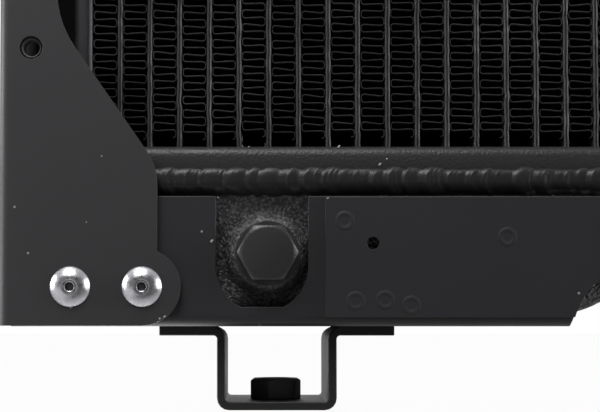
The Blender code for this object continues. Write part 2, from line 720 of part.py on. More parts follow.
def build_bracket(side_name, side):
    """A bent strap welded under the channel, with a nut welded over the hole in its floor."""
    x = side * BRACKET_X
    sheet, bend, tight = BRACKET_SHEET, BRACKET_BEND, BRACKET_BEND - BRACKET_SHEET
    leg, span_half, top = BRACKET_HALF_WIDTH, BRACKET_HALF_SPAN, BRACKET_TOP
    under = top - sheet
    outer = [(-span_half, top, 0), (-span_half, under, 0), (-leg, under, tight), (-leg, 0, bend)]
    outer += [(leg, 0, bend), (leg, under, tight), (span_half, under, 0), (span_half, top, 0)]
    inner = [(leg - sheet, top, bend), (leg - sheet, sheet, tight), (sheet - leg, sheet, tight)]
    inner += [(sheet - leg, top, bend)]
    outline = [(x + px, pz) for px, pz in rounded(outer + inner, 4)]
    depth = BRACKET_HALF_DEPTH
    strap = extruded(f"{side_name}_mount_bracket", outline, "XZ", -depth, depth, "bracket paint")
    hole = upright_pin(f"{side_name} foot hole", FOOT_HOLE_RADIUS, -sheet, 2 * sheet)
    hole.location = (x, 0, 0)
    boolean(strap, hole)
    sizes = (FOOT_NUT_ACROSS_FLATS, FOOT_NUT_HEIGHT, FOOT_NUT_BORE_RADIUS)
    foot_nut = nut(f"{side_name}_mount_nut", *sizes, "bracket paint")
    foot_nut.location = (x, 0, sheet + GAP)
    foot_nut.rotation_euler.z = FOOT_NUT_TURN


# Assembly

def build_ends():
    """What the lower and the upper end of the cooler share."""
    for end, top, port_x in (("lower", False, PORT_X), ("upper", True, -PORT_X)):
        build_header_plate(f"{end}_header_plate", top)
        tank = build_tank(f"{end}_tank", top, port_x)
        build_weld_bead(f"{end}_weld_bead", top)
        channel = build_channel(f"{end}_cross_channel", top)
        cut_port_notch(channel, top, port_x)
        if not top:
            add_drain_boss(tank)
            cut_drain_notch(channel)
            cut_arch(channel)
            cut_doubler_holes(channel)


def build_sides():
    for side_name, side in (("left", -1), ("right", 1)):
        build_side_plate(f"{side_name}_core_side_plate", side)
        build_side_frame(f"{side_name}_side_frame", side)
        build_bracket(side_name, side)
        for end, top in (("lower", False), ("upper", True)):
            build_weld_nut(f"weld_nut_{end}_{side_name}", nut_centre(side, top))
            for place_name, centre in rivet_centres(side, top).items():
                build_rivet(f"rivet_front_{end}_{side_name}_{place_name}", centre, FRONT)
                build_rivet(f"rivet_rear_{end}_{side_name}_{place_name}", centre, REAR)


build_core()
build_ends()
build_doubler()
build_drain_plug()
build_sides()
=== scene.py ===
"""The looks of the hydraulic oil cooler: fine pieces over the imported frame, finishes, light and camera."""

import math

import bmesh
import bpy
import numpy as np
from mathutils import Matrix, Vector, noise


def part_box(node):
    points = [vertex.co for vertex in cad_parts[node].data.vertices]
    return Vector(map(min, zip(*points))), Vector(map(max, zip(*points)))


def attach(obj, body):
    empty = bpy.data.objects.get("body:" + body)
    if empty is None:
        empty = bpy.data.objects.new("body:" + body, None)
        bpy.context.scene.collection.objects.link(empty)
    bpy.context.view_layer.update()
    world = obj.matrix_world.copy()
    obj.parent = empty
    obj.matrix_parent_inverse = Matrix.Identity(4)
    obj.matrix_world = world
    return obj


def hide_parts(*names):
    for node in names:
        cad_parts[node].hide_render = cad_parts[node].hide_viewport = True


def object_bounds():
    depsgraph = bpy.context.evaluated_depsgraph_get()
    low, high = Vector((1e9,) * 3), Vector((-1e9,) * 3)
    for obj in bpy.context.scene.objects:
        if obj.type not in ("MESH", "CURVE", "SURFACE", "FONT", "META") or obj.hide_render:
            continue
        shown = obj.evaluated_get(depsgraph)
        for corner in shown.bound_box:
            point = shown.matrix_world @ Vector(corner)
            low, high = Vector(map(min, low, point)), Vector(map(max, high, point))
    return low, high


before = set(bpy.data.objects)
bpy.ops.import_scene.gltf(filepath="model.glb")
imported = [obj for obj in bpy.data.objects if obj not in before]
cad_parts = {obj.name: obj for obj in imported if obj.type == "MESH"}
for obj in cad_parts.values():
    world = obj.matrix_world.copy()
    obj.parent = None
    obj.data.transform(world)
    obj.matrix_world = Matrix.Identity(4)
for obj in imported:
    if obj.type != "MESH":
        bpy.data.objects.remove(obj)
CAD_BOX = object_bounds()
MM = 0.001
FRONT, REAR = Vector((0, -1, 0)), Vector((0, 1, 0))

# Core
TUBE_SAMPLES = 170
TUBE_SWAY, TUBE_REACH = 0.07 * MM, 0.10 * MM
TUBE_GROUPS, FIN_GROUPS = 3, 4
TUBE_PLACES = [(i - 18) * 10 * MM for i in range(37)]
FIN_PLACES = [(i - 18.5) * 10 * MM for i in range(38)]
FIN_WIDTH = 7.6 * MM
FIN_PERIOD = 4.75 * MM
FIN_SHEET = 0.20 * MM
FIN_HALF_DEPTH = 29.7 * MM
CREST_HALF = 1.36 * MM
CREST_ROUND = 0.95 * MM
FIN_TILT = 0.02
FIN_WAVE = 4 * MM
FIN_FOOT_GAP, FIN_TOP_GAP = 2.6 * MM, 0.4 * MM
CREST_SPREAD, FOLD_SPREAD = 0.05 * MM, 0.09 * MM
SIDE_PLATE_SAMPLES, SIDE_PLATE_SWAY = 60, 0.05 * MM
SIDE_PLATE_FACE, SIDE_PLATE_ROUND = 28.8 * MM, (1.8 * MM, 2.2 * MM)
SIDE_BEAD_RADIUS, SIDE_BEAD_AT = 0.75 * MM, 29.6 * MM

# Headers, welds and tanks
HEADER_EDGE, HEADER_CORNER, HEADER_LIP = 3.4 * MM, 5 * MM, 6 * MM
HEADER_BURIED = 1.2 * MM
WELD_REACH, WELD_CORNER, WELD_STEP = 5.8 * MM, 3 * MM, 0.4 * MM
WELD_OVER_HEADER, WELD_END_ROOM = 1.1 * MM, 0.4 * MM
WELD_DIP, WELD_SETBACK = 0.35 * MM, 0.3 * MM
WELD_BOW = 2.6 * MM
DAB_LENGTHS, RIPPLE_LENGTHS = (3.5 * MM, 8.5 * MM), (0.9 * MM, 2.8 * MM)
DAB_SWELL, RIPPLE_SWELL = 0.50 * MM, 0.25 * MM
DAB_SCALLOP, RIPPLE_SCALLOP = 0.75 * MM, 0.12 * MM
CAST_VOXEL, CAST_LUMP = 1.25 * MM, 0.13 * MM

# Fasteners
RIVET_SEAT = 40 * MM
WELD_NUT_ACROSS_FLATS, WELD_NUT_THICK, WELD_NUT_BORE = 10 * MM, 5 * MM, 2.65 * MM
FOOT_NUT_ACROSS_FLATS, FOOT_NUT_BORE = 16 * MM, 4.25 * MM
SEAT_GAP = 0.3 * MM
PLUG_ACROSS_FLATS, PLUG_HEAD, PLUG_SHANK, PLUG_LENGTH = 17.9 * MM, 7.5 * MM, 5.9 * MM, 14.5 * MM
FOOT_NUT_TURN = math.radians(14.4)
THREAD_PITCH = 1.5 * MM

# Places of the doubler's spot welds, as X and Z, and of pale chips where the edges glint, painted glints, as
# X, Y, Z and radius, in millimetres
SPOT_WELDS = [(-105.0, 62.7), (-101.5, 36.3), (-91.8, 36.6), (-83.2, 34.9), (-51.5, 57.4)]
GLINT_CHIPS = [(-148.9, -37.2, 56.2, 0.50), (-146.9, -37.2, 70.6, 0.22), (-110.6, -39.5, 70.2, 0.28)]
GLINT_CHIPS += [(-136.7, -34.6, 87.7, 0.25), (-106.7, -34.4, 87.8, 0.45), (-93.1, -35.5, 81.8, 0.40)]
GLINT_CHIPS += [(-90.8, -35.5, 83.6, 0.25), (-164.3, -40.0, 31.2, 0.35), (-165.9, -40.0, 30.5, 0.3)]

# Stage
TENT = 0.70
CARD_DIM = 0.10
FLOOR_HALF, FLOOR_DROP, LAMP_OVER_FLOOR = 6, 0.5 * MM, 0.2 * MM
FLOOR_GLOW = 0.97
PICTURE_SIZE = (600, 412)
CAMERA_PLACE = (-0.135, -0.590, 0.028)
CAMERA_PITCH = math.radians(92.5)
CAMERA_LENS, CAMERA_SHIFT = 100.45, (0.0770, 0.0787)

rng = np.random.default_rng(416)


# Node trees

def add_node(tree, kind, inputs=None, **settings):
    node = tree.nodes.new("ShaderNode" + kind)
    for key, value in settings.items():
        setattr(node, key, value)
    for key, value in (inputs or {}).items():
        if isinstance(value, bpy.types.NodeSocket):
            tree.links.new(value, node.inputs[key])
        else:
            node.inputs[key].default_value = value
    return node


def maths(tree, operation, first, second):
    return add_node(tree, "Math", {0: first, 1: second}, operation=operation).outputs[0]


def mixed(tree, factor, first, second):
    return add_node(tree, "Mix", {0: factor, 6: first, 7: second}, data_type="RGBA").outputs[2]


def ranged(tree, value, low, high, to_low, to_high):
    limits = {"Value": value, "From Min": low, "From Max": high, "To Min": to_low, "To Max": to_high}
    return add_node(tree, "MapRange", limits).outputs[0]


def node_group(name, inputs):
    tree = bpy.data.node_groups.new(name, "ShaderNodeTree")
    for socket, value in inputs.items():
        kind = "NodeSocketFloat" if isinstance(value, float) else "NodeSocketColor"
        tree.interface.new_socket(socket, in_out="INPUT", socket_type=kind).default_value = value
    for socket, kind in (("Colour", "Color"), ("Roughness", "Float"), ("Height", "Float")):
        tree.interface.new_socket(socket, in_out="OUTPUT", socket_type="NodeSocket" + kind)
    return tree, tree.nodes.new("NodeGroupInput").outputs, tree.nodes.new("NodeGroupOutput").inputs


def object_coordinates(tree):
    return add_node(tree, "TexCoord").outputs["Object"]


def sprayed_film():
    """Sprayed paint: broad cloudiness, orange peel and a few pale dust specks."""
    start = {"Colour": (0.03, 0.03, 0.03, 1), "Mottle": 0.12, "Roughness": 0.45, "Specks": 0.02}
    tree, given, result = node_group("sprayed film", start)
    where = object_coordinates(tree)
    cloud = add_node(tree, "TexNoise", {"Vector": where, "Scale": 30, "Detail": 5}).outputs["Fac"]
    peel = add_node(tree, "TexNoise", {"Vector": where, "Scale": 1100, "Detail": 2}).outputs["Fac"]
    cells = add_node(tree, "TexVoronoi", {"Vector": where, "Scale": 210})
    shade = add_node(tree, "SeparateColor", {"Color": cells.outputs["Color"]}).outputs[0]
    chosen = maths(tree, "LESS_THAN", shade, given["Specks"])
    speck = maths(tree, "MULTIPLY", chosen, maths(tree, "LESS_THAN", cells.outputs["Distance"], 0.085))
    darker = maths(tree, "SUBTRACT", 1, given["Mottle"])
    paler = maths(tree, "ADD", 1, given["Mottle"])
    tone = ranged(tree, cloud, 0.3, 0.7, darker, paler)
    tinted = add_node(tree, "VectorMath", {0: given["Colour"], "Scale": tone}, operation="SCALE").outputs[0]
    tree.links.new(mixed(tree, speck, tinted, (0.33, 0.33, 0.32, 1)), result["Colour"])
    uneven = ranged(tree, cloud, 0.25, 0.75, 0.07, -0.07)
    tree.links.new(maths(tree, "ADD", given["Roughness"], uneven), result["Roughness"])
    tree.links.new(maths(tree, "ADD", peel, speck), result["Height"])
    return tree


def sand_skin():
    """A painted sand casting: grains and pits in the relief, with painted shade in the pits and a painted
    highlight on the high spots.
    """
    start = {"Colour": (0.03, 0.03, 0.03, 1), "Roughness": 0.5, "High Spot Highlight": 0.5}
    tree, given, result = node_group("sand skin", start)
    where = object_coordinates(tree)
    stir = add_node(tree, "TexNoise", {"Vector": where, "Scale": 500, "Detail": 2}).outputs["Color"]
    stirred = add_node(
        tree, "VectorMath", {0: stir, 1: (0.0018, 0.0018, 0.0018), 2: where}, operation="MULTIPLY_ADD"
    ).outputs[0]
    cells = add_node(tree, "TexVoronoi", {"Vector": stirred, "Scale": 900}).outputs["Distance"]
    grain = maths(tree, "SUBTRACT", 1, cells)
    lump = add_node(tree, "TexNoise", {"Vector": where, "Scale": 260, "Detail": 2}).outputs["Fac"]
    relief = maths(tree, "ADD", grain, maths(tree, "MULTIPLY", lump, 0.8))
    # Darker in the pits and paler on the high relief: painted shade and painted highlight
    tone = ranged(tree, relief, 0.75, 1.30, 0.6, maths(tree, "ADD", 1.2, given["High Spot Highlight"]))
    tinted = add_node(tree, "VectorMath", {0: given["Colour"], "Scale": tone}, operation="SCALE").outputs[0]
    tree.links.new(tinted, result["Colour"])
    uneven = ranged(tree, grain, 0.4, 0.9, 0.12, -0.12)
    tree.links.new(maths(tree, "ADD", given["Roughness"], uneven), result["Roughness"])
    tree.links.new(relief, result["Height"])
    return tree


def drawn_metal():
    """Bare metal with fine tool marks and faint stains."""
    start = {"Colour": (0.6, 0.6, 0.6, 1), "Roughness": 0.3, "Stain": 0.2}
    tree, given, result = node_group("drawn metal", start)
    where = object_coordinates(tree)
    marks = add_node(tree, "TexNoise", {"Vector": where, "Scale": 900, "Detail": 3}).outputs["Fac"]
    stain = add_node(tree, "TexNoise", {"Vector": where, "Scale": 230, "Detail": 4}).outputs["Fac"]
    tone = ranged(tree, stain, 0.35, 0.65, maths(tree, "SUBTRACT", 1, given["Stain"]), 1)
    tinted = add_node(tree, "VectorMath", {0: given["Colour"], "Scale": tone}, operation="SCALE").outputs[0]
    tree.links.new(tinted, result["Colour"])
    uneven = ranged(tree, marks, 0.3, 0.7, -0.06, 0.08)
    tree.links.new(maths(tree, "ADD", given["Roughness"], uneven), result["Roughness"])
    tree.links.new(marks, result["Height"])
    return tree


def depth_shade_and_highlight():
    """Colour by distance from the core's middle plane: painted shade deep inside the core and a painted
    highlight on the front crests.
    """
    tree = bpy.data.node_groups.new("painted depth shade and highlight", "ShaderNodeTree")
    tree.interface.new_socket("Colour", in_out="INPUT", socket_type="NodeSocketColor")
    for socket in ("Inside", "Outside", "Least", "Most"):
        tree.interface.new_socket(socket, in_out="INPUT", socket_type="NodeSocketFloat")
    tree.interface.new_socket("Colour", in_out="OUTPUT", socket_type="NodeSocketColor")
    given, result = tree.nodes.new("NodeGroupInput").outputs, tree.nodes.new("NodeGroupOutput").inputs
    depth = add_node(tree, "SeparateXYZ", {0: object_coordinates(tree)}).outputs["Y"]
    depth = maths(tree, "ABSOLUTE", depth, 0)
    # Painted shade deep in the core and painted highlight on the crests: the colour is scaled by depth
    share = ranged(tree, depth, given["Inside"], given["Outside"], given["Least"], given["Most"])
    tinted = add_node(tree, "VectorMath", {0: given["Colour"], "Scale": share}, operation="SCALE").outputs[0]
    tree.links.new(tinted, result["Colour"])
    return tree


def finish_material(name, group, values, relief, metallic=0.0, gloss=0.5, painted_depth_light=None):
    """A Principled material whose colour, roughness and relief come from one of the groups."""
    material = bpy.data.materials.new(name)
    material.use_nodes = True
    tree = material.node_tree
    shader = tree.nodes["Principled BSDF"]
    shader.inputs["Metallic"].default_value = metallic
    shader.inputs["Specular IOR Level"].default_value = gloss
    film = tree.nodes.new("ShaderNodeGroup")
    film.node_tree = group
    for key, value in values.items():
        film.inputs[key].default_value = value
    bump = add_node(tree, "Bump", {"Height": film.outputs["Height"], "Distance": relief})
    colour = film.outputs["Colour"]
    # Painted depth shade and highlight for the core and its fins
    if painted_depth_light:
        depth = tree.nodes.new("ShaderNodeGroup")
        depth.node_tree = DEPTH_SHADE_AND_HIGHLIGHT
        for key, value in painted_depth_light.items():
            depth.inputs[key].default_value = value
        tree.links.new(colour, depth.inputs["Colour"])
        colour = depth.outputs["Colour"]
    tree.links.new(colour, shader.inputs["Base Color"])
    tree.links.new(film.outputs["Roughness"], shader.inputs["Roughness"])
    tree.links.new(bump.outputs["Normal"], shader.inputs["Normal"])
    return material


def grey(level, tint=0.0):
    return (level, level * (1 - tint / 2), level * (1 + tint), 1)


# Finishes: relief distances and the distances of the painted depth shade and highlight are in metres
FILM, SAND, METAL, DEPTH_SHADE_AND_HIGHLIGHT = sprayed_film(), sand_skin(), drawn_metal(), depth_shade_and_highlight()
FINISHES = {
    "side_frame": finish_material(
        "side frame paint", FILM,
        {"Colour": grey(0.036, 0.05), "Roughness": 0.50, "Mottle": 0.06, "Specks": 0.12}, 0.00003, gloss=0.4,
    ),
    "channel": finish_material(
        "channel paint", FILM,
        {"Colour": grey(0.0235, 0.09), "Roughness": 0.50, "Mottle": 0.08, "Specks": 0.12}, 0.00003, gloss=0.4,
    ),
    # Core: lighter on the front crests of the tubes, a painted highlight
    "core": finish_material(
        "core paint", FILM, {"Colour": grey(0.050, 0.06), "Roughness": 0.40, "Mottle": 0.4, "Specks": 0.03},
        0.00008, painted_depth_light={"Inside": 0.0302, "Outside": 0.0304, "Least": 0.9, "Most": 2.4},
    ),
    # Fins: darker deep inside the core, painted shade
    "fin": finish_material(
        "fin paint", FILM, {"Colour": grey(0.055), "Roughness": 0.60, "Mottle": 0.35}, 0.00005,
        gloss=0.0, painted_depth_light={"Inside": 0.0283, "Outside": 0.0297, "Least": 0.04, "Most": 1},
    ),
    "header": finish_material(
        "header paint", FILM,
        {"Colour": grey(0.025, 0.04), "Roughness": 0.44, "Mottle": 0.14, "Specks": 0.06}, 0.00022,
    ),
    "weld": finish_material(
        "weld paint", FILM, {"Colour": grey(0.014), "Roughness": 0.42, "Mottle": 0.25}, 0.00010
    ),
    # Cast tank: darker pits and paler high spots, painted shade and painted highlight
    "cast_tank": finish_material(
        "cast tank paint", SAND, {"Colour": grey(0.105), "Roughness": 0.33, "High Spot Highlight": 0.9}, 0.00055,
    ),
    "bracket": finish_material(
        "bracket paint", FILM, {"Colour": grey(0.009), "Roughness": 0.45, "Mottle": 0.15}, 0.00005,
        gloss=0.4,
    ),
    # Bracket nuts: paint far lighter than the bracket's, painted light for the shade they sit in under the
    # channel
    "foot_nut": finish_material(
        "nut paint with painted light", FILM, {"Colour": grey(0.15), "Roughness": 0.42, "Mottle": 0.25}, 0.00008
    ),
    "black_steel": finish_material(
        "black plug steel", FILM, {"Colour": grey(0.034, 0.03), "Roughness": 0.34, "Mottle": 0.3}, 0.00012
    ),
    "rivet_steel": finish_material(
        "bare rivet steel", METAL, {"Colour": grey(0.66, 0.04), "Roughness": 0.30, "Stain": 0.12},
        0.000004, 1.0,
    ),
    "mandrel": finish_material(
        "broken mandrel steel", METAL, {"Colour": grey(0.10), "Roughness": 0.55, "Stain": 0.5}, 0.00008, 0.6
    ),
    "nut_steel": finish_material(
        "plated nut steel", METAL, {"Colour": grey(0.14), "Roughness": 0.42, "Stain": 0.3}, 0.00001, 0.3
    ),
    # Pale chips where the edges glint: painted glints on chipped paint
    "glint_chip": finish_material(
        "bare chips at glints", METAL, {"Colour": grey(0.50), "Roughness": 0.40, "Stain": 0.3}, 0.00001
    ),
    "seal": finish_material(
        "sealing washer", METAL, {"Colour": grey(0.05), "Roughness": 0.45, "Stain": 0.3}, 0.00001, 0.2
    ),
}


# Mesh helpers

def cleaned(mesh, sharp=40):
    work = bmesh.new()
    work.from_mesh(mesh)
    bmesh.ops.remove_doubles(work, verts=work.verts, dist=1e-6)
    bmesh.ops.recalc_face_normals(work, faces=work.faces)
    work.to_mesh(mesh)
    work.free()
    mesh.shade_smooth()
    mesh.set_sharp_from_angle(angle=math.radians(sharp))
    return mesh


def loft(name, rings, closed_path=False, closed_section=True):
    """A mesh through rings of points, given as an array of rings, points and coordinates."""
    count, size, _ = rings.shape
    rows = np.arange(count if closed_path else count - 1)
    columns = np.arange(size if closed_section else size - 1)
    row, column = np.meshgrid(rows, columns, indexing="ij")
    after, beside = (row + 1) % count * size, (column + 1) % size
    row = row * size
    quads = np.stack([row + column, row + beside, after + beside, after + column], -1)
    faces = quads.reshape(-1, 4).tolist()
    if not closed_path:
        faces += [list(range(size)), list(range((count - 1) * size, count * size))]
    mesh = bpy.data.meshes.new(name)
    mesh.from_pydata(rings.reshape(-1, 3).tolist(), [], faces)
    return cleaned(mesh)


def turned(name, profile_at, steps, ring=False):
    """Turned about Z. profile_at gives the (radius, height) points at an angle."""
    rings = []
    for angle in np.arange(steps) * 2 * np.pi / steps:
        radius, height = np.array(profile_at(angle)).T
        rings.append(np.stack([radius * np.cos(angle), radius * np.sin(angle), height], -1))
    return loft(name, np.array(rings), closed_path=True, closed_section=ring)


def joined(name, meshes):
    work = bmesh.new()
    for mesh in meshes:
        work.from_mesh(mesh)
    whole = bpy.data.meshes.new(name)
    work.to_mesh(whole)
    work.free()
    for mesh in meshes:
        bpy.data.meshes.remove(mesh)
    return whole


def facing(origin, direction):
    """The matrix that puts local Z along direction, from origin."""
    return Matrix.Translation(origin) @ direction.to_track_quat("Z", "Y").to_matrix().to_4x4()


def piece(mesh, finish, nodes, body="cooler"):
    obj = bpy.data.objects.new(mesh.name, mesh)
    bpy.context.scene.collection.objects.link(obj)
    mesh.materials.clear()
    mesh.materials.append(FINISHES[finish])
    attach(obj, body)
    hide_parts(*nodes)
    return obj


def centre_of(node):
    low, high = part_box(node)
    return (Vector(low) + Vector(high)) / 2


# Sheet metal

def edged_sheet(node, finish, edge, lift=0.0):
    """The frame's own sheet, with its sheared edges broken, and its top face lifted where it is welded on."""
    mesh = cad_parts[node].data.copy()
    mesh.name = node + "_sheet"
    work = bmesh.new()
    work.from_mesh(mesh)
    bmesh.ops.remove_doubles(work, verts=work.verts, dist=1e-6)
    bmesh.ops.dissolve_limit(work, angle_limit=math.radians(0.4), verts=work.verts, edges=work.edges)
    top = max(vertex.co.z for vertex in work.verts)
    for vertex in work.verts:
        if vertex.co.z > top - 0.01 * MM:
            vertex.co.z += lift
    work.to_mesh(mesh)
    work.free()
    sheet = piece(cleaned(mesh, 35), finish, [node])
    broken = sheet.modifiers.new("broken edges", "BEVEL")
    broken.width = edge
    broken.segments = 2
    broken.limit_method = "ANGLE"
    broken.angle_limit = math.radians(50)


def build_sheet_metal():
    for side in ("left", "right"):
        edged_sheet(f"{side}_side_frame", "side_frame", 0.25 * MM)
        edged_sheet(f"{side}_mount_bracket", "bracket", 0.35 * MM, 0.5 * MM)
    for end in ("lower", "upper"):
        edged_sheet(f"{end}_cross_channel", "channel", 0.25 * MM)
    edged_sheet("doubler_plate", "channel", 0.3 * MM)


def build_spot_weld_marks():
    """Shallow electrode rings on the doubler."""
    profile = [(1.3, -0.05), (1.6, 0.03), (2.0, 0.12), (2.4, 0.20), (2.8, 0.15), (3.2, 0.03), (3.4, -0.05)]
    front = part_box("doubler_plate")[0][1]
    marks = []
    for x, z in SPOT_WELDS + [(-x, z) for x, z in SPOT_WELDS]:
        mark = turned("mark", lambda angle: np.array(profile) * MM, 32, ring=True)
        mark.transform(facing((x * MM, front, z * MM), FRONT))
        marks.append(mark)
    piece(joined("spot_weld_marks", marks), "channel", ["doubler_plate"])


def build_glint_chips():
    """Bare chips in the paint, placed where the edges glint: painted glints, as flat flakes a little proud of
    the surface.
    """
    flakes = []
    # Each flake is a pale spot at a glint on an edge: a painted glint
    for x, y, z, size in GLINT_CHIPS:
        profile = [(0, 0.10), (0.6 * size, 0.09), (size, 0.0), (0.6 * size, -0.2), (0, -0.2)]
        flake = turned("flake", lambda angle: np.array(profile) * (1 + 0.3 * math.sin(2 * angle), 1) * MM, 16)
        flake.transform(facing((x * MM, y * MM, z * MM), FRONT))
        flakes.append(flake)
    piece(joined("glint_chips", flakes), "glint_chip", ["lower_cross_channel"])


# Core

def tube_section():
    """Half of a folded tube's section: square shoulders, then two lobes at the nose with the seam between."""
    points = [(-1.0, -28.4), (-0.74, -29.0)]
    for middle, radius, start in ((-0.42, 0.36, -0.1), (0.50, 0.24, 0.20)):
        points.append((middle - radius, -29.4))
        for angle in np.linspace(np.pi, 2 * np.pi, 6):
            points.append((middle + radius * np.cos(angle), -29.9 - start + radius * np.sin(angle)))
        points.append((middle + radius, -29.4))
    points += [(0.76, -29.0), (1.0, -28.4)]
    return np.array(points) * MM


def build_tubes():
    """The flat tubes, each a little uneven along its height."""
    low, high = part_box("lower_header_plate")[1][2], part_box("upper_header_plate")[0][2]
    heights = np.linspace(low - 0.5 * MM, high + 0.5 * MM, TUBE_SAMPLES)
    front = tube_section()
    section = np.concatenate([front, -front])
    nose = np.sign(section[:, 1])
    for group, places in enumerate(np.array_split(TUBE_PLACES, TUBE_GROUPS)):
        tubes = []
        for x in places:
            rings = np.empty((len(heights), len(section), 3))
            sway = rng.normal(0, TUBE_SWAY, len(heights))
            reach = rng.normal(0, TUBE_REACH, len(heights))
            rings[:, :, 0] = x + section[:, 0] + sway[:, None]
            rings[:, :, 1] = section[:, 1] + nose * reach[:, None]
            rings[:, :, 2] = heights[:, None]
            tubes.append(loft("tube", rings))
        piece(joined(f"core_tubes_{group + 1}", tubes), "core", ["core_matrix"])


def fin_line(low, high):
    """The centre line of one corrugated fin, from low to high, across a column of FIN_WIDTH."""
    half = FIN_WIDTH / 2
    quarter = np.linspace(0, np.pi / 2, 5)
    points = []
    middle, side = low + CREST_HALF, 1
    while middle + CREST_HALF < high:
        crest = CREST_HALF + rng.normal(0, CREST_SPREAD)
        at = middle + rng.normal(0, FOLD_SPREAD)
        edge = half - CREST_ROUND
        lower = at - crest + CREST_ROUND * (1 - np.cos(quarter))
        upper = at + crest - CREST_ROUND * (1 - np.cos(quarter[::-1]))
        across = edge + CREST_ROUND * np.sin(quarter)
        for x, z in zip(np.concatenate([across, across[::-1]]), np.concatenate([lower, upper])):
            points.append((side * x, z - FIN_TILT * side * x))
        middle, side = middle + FIN_PERIOD / 2, -side
    return points


def waved(mesh, low):
    """Bends the fins down in mid depth, less so near the lower header, so that none can be seen through."""
    work = bmesh.new()
    work.from_mesh(mesh)
    whole = work.verts[:] + work.edges[:] + work.faces[:]
    bmesh.ops.bisect_plane(work, geom=whole, plane_co=(0, 0, 0), plane_no=(0, 1, 0))
    for vertex in work.verts:
        if abs(vertex.co.y) < 0.01 * MM:
            vertex.co.z -= min(FIN_WAVE, 0.9 * FIN_FOOT_GAP + 0.4 * (vertex.co.z - low))
    work.to_mesh(mesh)
    work.free()
    return mesh


def build_fins():
    """The corrugated fins, drawn as lines across each column and extruded through the core's depth."""
    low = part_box("lower_header_plate")[1][2] + FIN_FOOT_GAP
    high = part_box("upper_header_plate")[0][2] - FIN_TOP_GAP
    upright = Matrix.Rotation(math.radians(90), 4, "X")
    for group, places in enumerate(np.array_split(FIN_PLACES, FIN_GROUPS)):
        curve = bpy.data.curves.new("fin lines", "CURVE")
        curve.dimensions = "2D"
        curve.fill_mode = "NONE"
        curve.extrude = FIN_HALF_DEPTH
        for place in places:
            line = fin_line(low + rng.uniform(0, 1.2) * MM, high)
            spline = curve.splines.new("POLY")
            spline.points.add(len(line) - 1)
            for point, (x, z) in zip(spline.points, line):
                point.co = (place + x, z, 0, 1)
        drawn = bpy.data.objects.new("fin lines", curve)
        bpy.context.scene.collection.objects.link(drawn)
        graph = bpy.context.evaluated_depsgraph_get()
        mesh = bpy.data.meshes.new_from_object(drawn.evaluated_get(graph))
        bpy.data.objects.remove(drawn, do_unlink=True)
        mesh.name = f"corrugated_fins_{group + 1}"
        mesh.transform(upright)
        fins = piece(waved(mesh, low), "fin", ["core_matrix"])
        sheet = fins.modifiers.new("fin sheet", "SOLIDIFY")
        sheet.thickness = FIN_SHEET
        sheet.offset = 0


def build_side_plates():
    """The bars beside the outermost fins: rounded outside, with a bead along the inner edge."""
    for side, name in ((-1, "left"), (1, "right")):
        low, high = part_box(f"{name}_core_side_plate")
        outer, inner = sorted((abs(low[0]), abs(high[0])), reverse=True)
        nose = inner + SIDE_BEAD_RADIUS
        width, depth = SIDE_PLATE_ROUND
        front = []
        for angle in np.linspace(0, np.pi / 2, 6):
            front.append((outer - width * (1 - np.cos(angle)), depth * (1 - np.sin(angle)) - SIDE_PLATE_FACE))
        front += [(inner + 2.2 * MM, -SIDE_PLATE_FACE), (inner + 1.7 * MM, 0.3 * MM - SIDE_PLATE_FACE)]
        for angle in np.linspace(np.pi, 2 * np.pi, 7)[::-1]:
            x, y = SIDE_BEAD_RADIUS * np.cos(angle), SIDE_BEAD_RADIUS * np.sin(angle)
            front.append((nose + x, y - SIDE_BEAD_AT))
        front = np.array(front)
        section = np.concatenate([front, front[::-1] * (1, -1)])
        heights = np.linspace(low[2], high[2], SIDE_PLATE_SAMPLES)
        sway = rng.normal(0, SIDE_PLATE_SWAY, len(heights))
        rings = np.empty((len(heights), len(section), 3))
        rings[:, :, 0] = side * (section[:, 0] + sway[:, None])
        rings[:, :, 1] = section[:, 1]
        rings[:, :, 2] = heights[:, None]
        piece(loft(f"{name}_side_plate_bar", rings), "core", [f"{name}_core_side_plate"])


# Headers, welds and tanks

def rounded_path(half_length, half_depth, corner, step):
    """Points round a rounded rectangle in XY and their outward directions, about one step apart."""
    points, outward = [], []
    corners = ((half_length, half_depth), (-half_length, half_depth), (-half_length, -half_depth))
    corners += ((half_length, -half_depth),)
    for i, (x, y) in enumerate(corners):
        centre = np.array((math.copysign(half_length - corner, x), math.copysign(half_depth - corner, y)))
        turn = np.linspace(i, i + 1, max(3, int(corner * np.pi / 2 / step))) * np.pi / 2
        normals = np.stack([np.cos(turn), np.sin(turn)], -1)
        sides = np.sign(corners[(i + 1) % 4])
        following = sides * (half_length - corner, half_depth - corner)
        points.append(centre + corner * normals)
        outward.append(normals)
        run = int(np.linalg.norm(following - centre) / step)
        along = np.linspace(0, 1, run + 1)[1:-1, None]
        points.append(centre + corner * normals[-1] + along * (following - centre))
        outward.append(np.repeat(normals[-1:], len(along), 0))
    return np.concatenate(points), np.concatenate(outward)


